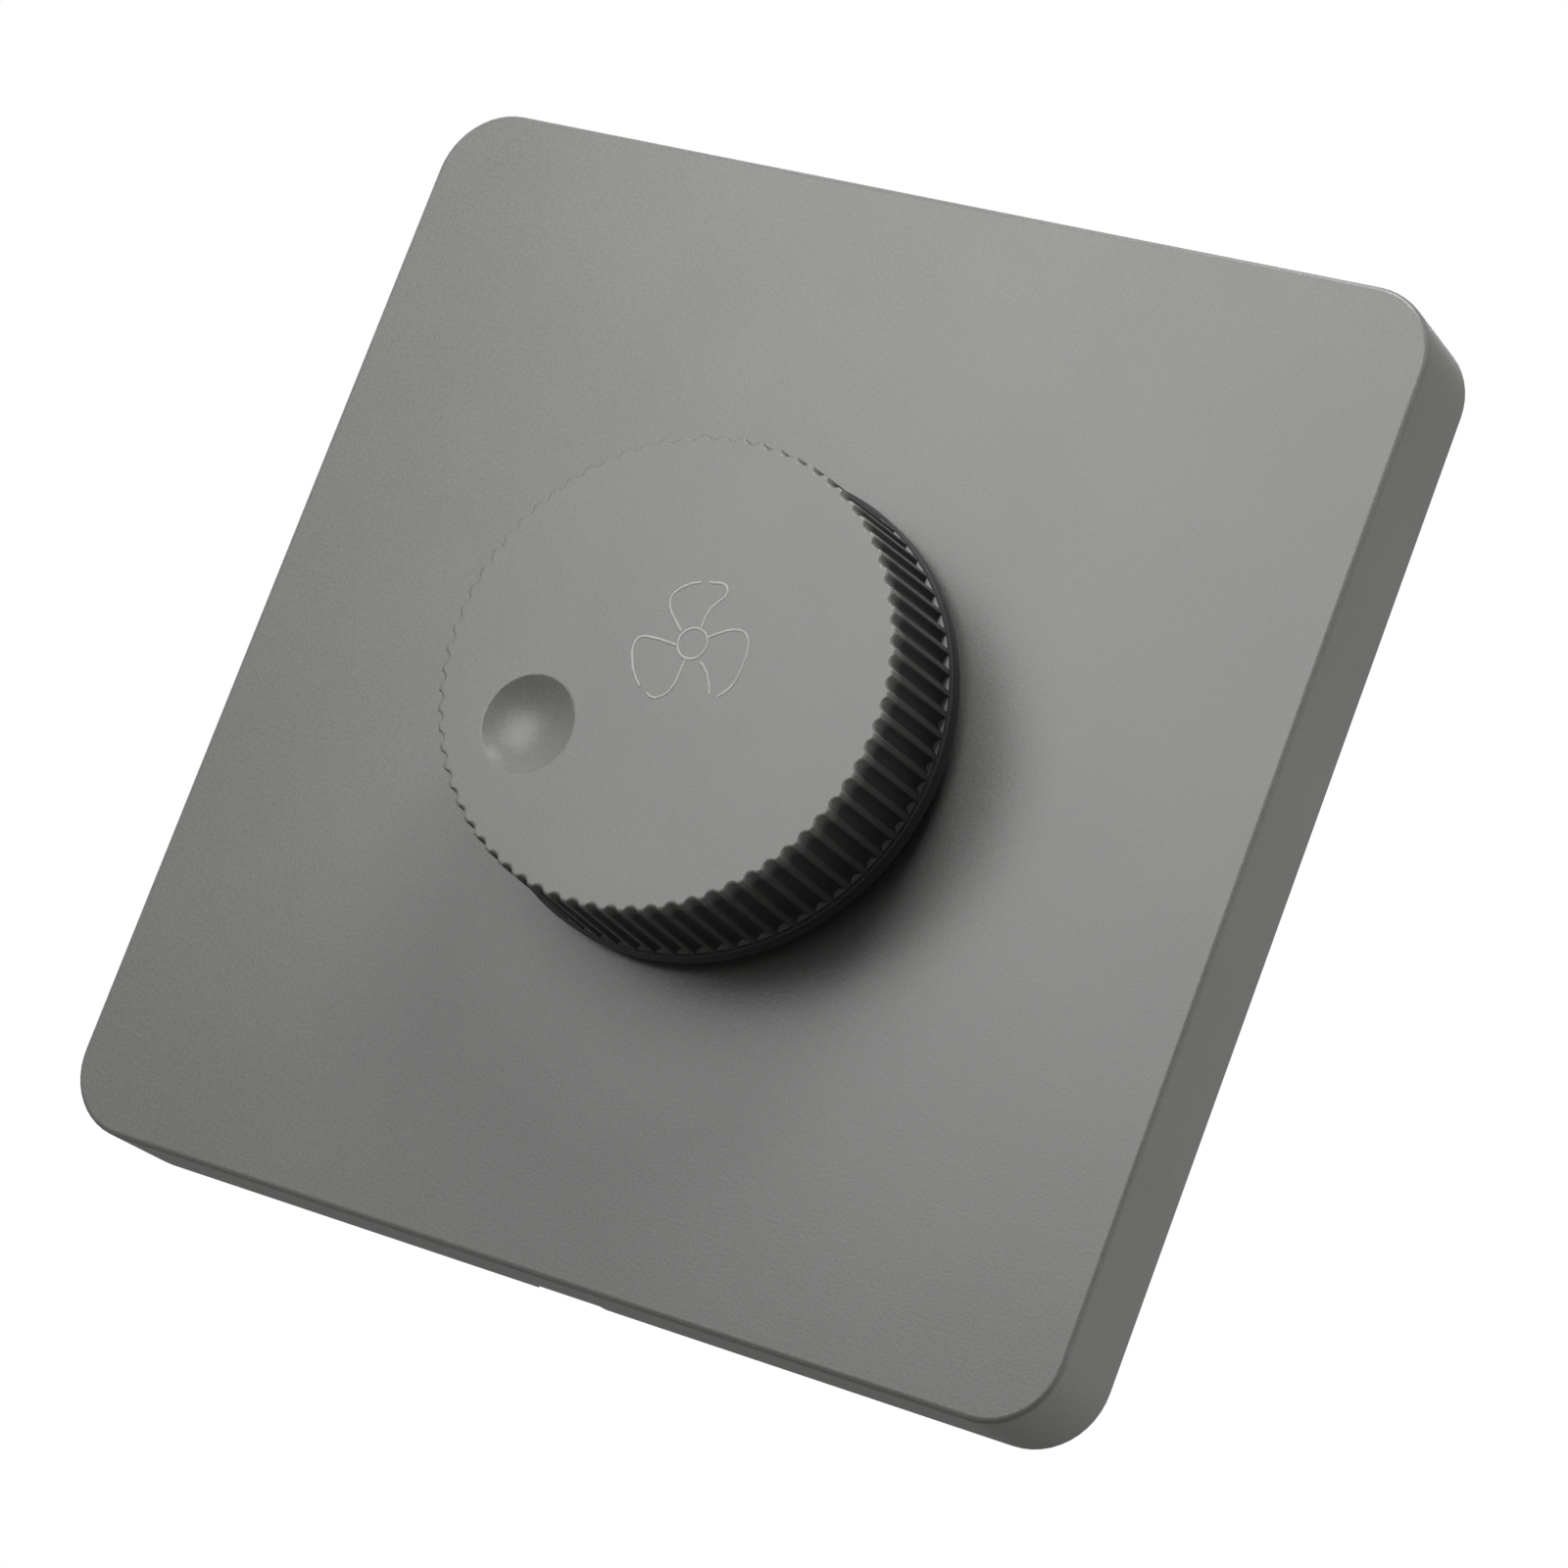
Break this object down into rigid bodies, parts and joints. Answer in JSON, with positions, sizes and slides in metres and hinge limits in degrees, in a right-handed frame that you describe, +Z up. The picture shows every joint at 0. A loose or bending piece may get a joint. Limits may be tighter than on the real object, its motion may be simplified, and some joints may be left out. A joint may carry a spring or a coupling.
{
  "type": "fan speed control switch",
  "caption": "Square wall plate with rounded corners and a large fluted rotary knob with a finger dimple; speed control in a boxed rear housing.",
  "frame": {"origin": "middle of the plate on the wall plane, midway between the fixing slots", "axes": "X to the right along the fixing slots, Z up, Y into the wall; the knob faces -Y"},
  "size_m": [0.086, 0.048, 0.086],
  "materials": {
    "cover_plastic": "satin grey moulding",
    "knob_plastic": "satin grey moulding",
    "frame_plastic": "matt",
    "housing_plastic": "matt",
    "rotor_plastic": "matt",
    "black_plastic": "matt",
    "terminal_plastic": "satin",
    "yellow_plastic": "gloss",
    "film_red": "gloss",
    "resistor_paint": "gloss lacquer",
    "diac_glass": "gloss",
    "phenolic_board": "matt",
    "circuit_board": "matt",
    "ferrite": "matt",
    "spring_steel": "bright",
    "turned_metal": "plated",
    "tinned_metal": "tinned",
    "plated_screw": "zinc plated",
    "contact_metal": "bright",
    "brass_part": "bright",
    "copper_wire": "enamelled",
    "sheet_aluminium": "rolled sheet"
  },
  "bodies": {
    "controller": {"front_cover": "cover_plastic", "mounting_frame": "frame_plastic", "rear_housing": "housing_plastic", "pot_bushing": "turned_metal", "pot_nut": "turned_metal", "pot_element_board": "phenolic_board", "pot_terminals": "tinned_metal", "pot_shell": "tinned_metal", "switch_case": "black_plastic", "switch_leaf": "contact_metal", "switch_contact": "contact_metal", "heatsink": "sheet_aluminium", "circuit_board": "circuit_board", "triac_body": "black_plastic", "triac_leads": "tinned_metal", "triac_screw": "plated_screw", "suppression_capacitor": "yellow_plastic", "timing_capacitor": "film_red", "choke_core": "ferrite", "choke_coil": "copper_wire", "resistor_series": "resistor_paint", "resistor_timing": "resistor_paint", "diac": "diac_glass", "terminal_block": "terminal_plastic", "terminal_cages": "brass_part", "terminal_screws": "plated_screw"},
    "knob": {"knob": "knob_plastic", "knob_spring": "spring_steel", "pot_shaft": "turned_metal", "pot_rotor": "rotor_plastic", "pot_wiper": "contact_metal"}
  },
  "joints": [
    {"name": "knob_turn", "type": "hinge", "parent": "controller", "child": "knob", "pos_m": [0, 0, 0], "axis": [0, 1, 0], "range_deg": [0, 270]}
  ]
}
